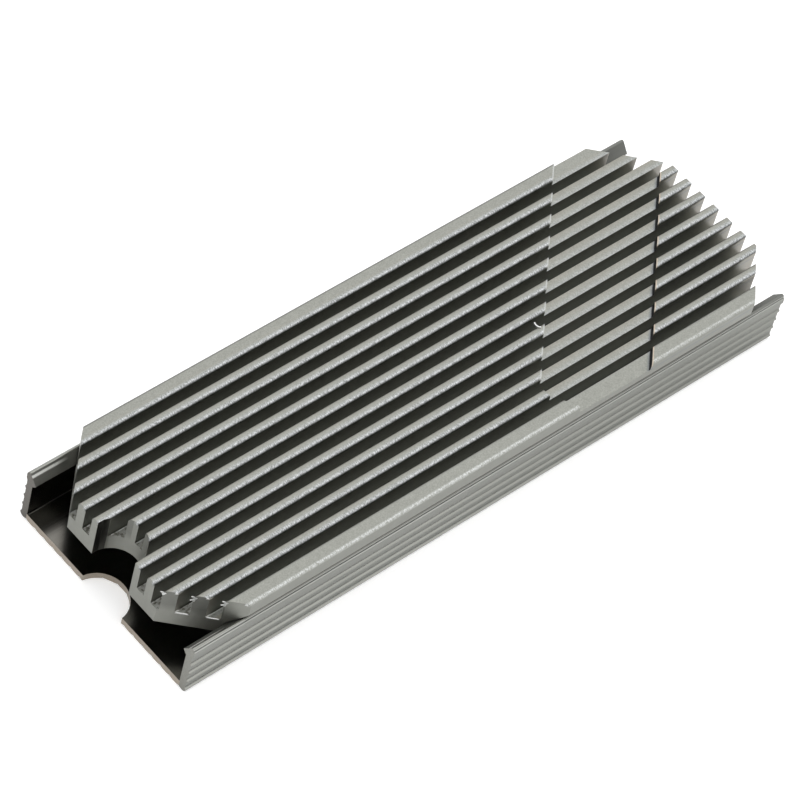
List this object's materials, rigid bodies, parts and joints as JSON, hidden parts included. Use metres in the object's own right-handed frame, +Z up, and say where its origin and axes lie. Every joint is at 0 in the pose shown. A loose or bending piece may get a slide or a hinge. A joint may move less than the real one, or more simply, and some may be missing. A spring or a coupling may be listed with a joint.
{
  "type": "ssd heat sink",
  "caption": "Aluminium heat sink for a slim solid state drive board: a ribbed channel with barbed rails and a finned cover that slides along it.",
  "frame": {"origin": "middle of the tray's underside", "axes": "+X along the board, away from the screw notch; +Y across the board; +Z up through the fins"},
  "size_m": [0.0764, 0.0244, 0.009],
  "materials": {
    "tray_aluminium": "satin",
    "cover_aluminium": "satin",
    "thermal_pad": "matte"
  },
  "bodies": {
    "tray_body": {"tray": "tray_aluminium", "lower_thermal_pad": "thermal_pad"},
    "cover_body": {"finned_cover": "cover_aluminium", "upper_thermal_pad": "thermal_pad"}
  },
  "joints": [
    {"name": "cover_slide", "type": "slide", "parent": "tray_body", "child": "cover_body", "axis": [1, 0, 0], "range_m": [-0.066, 0.066]}
  ]
}
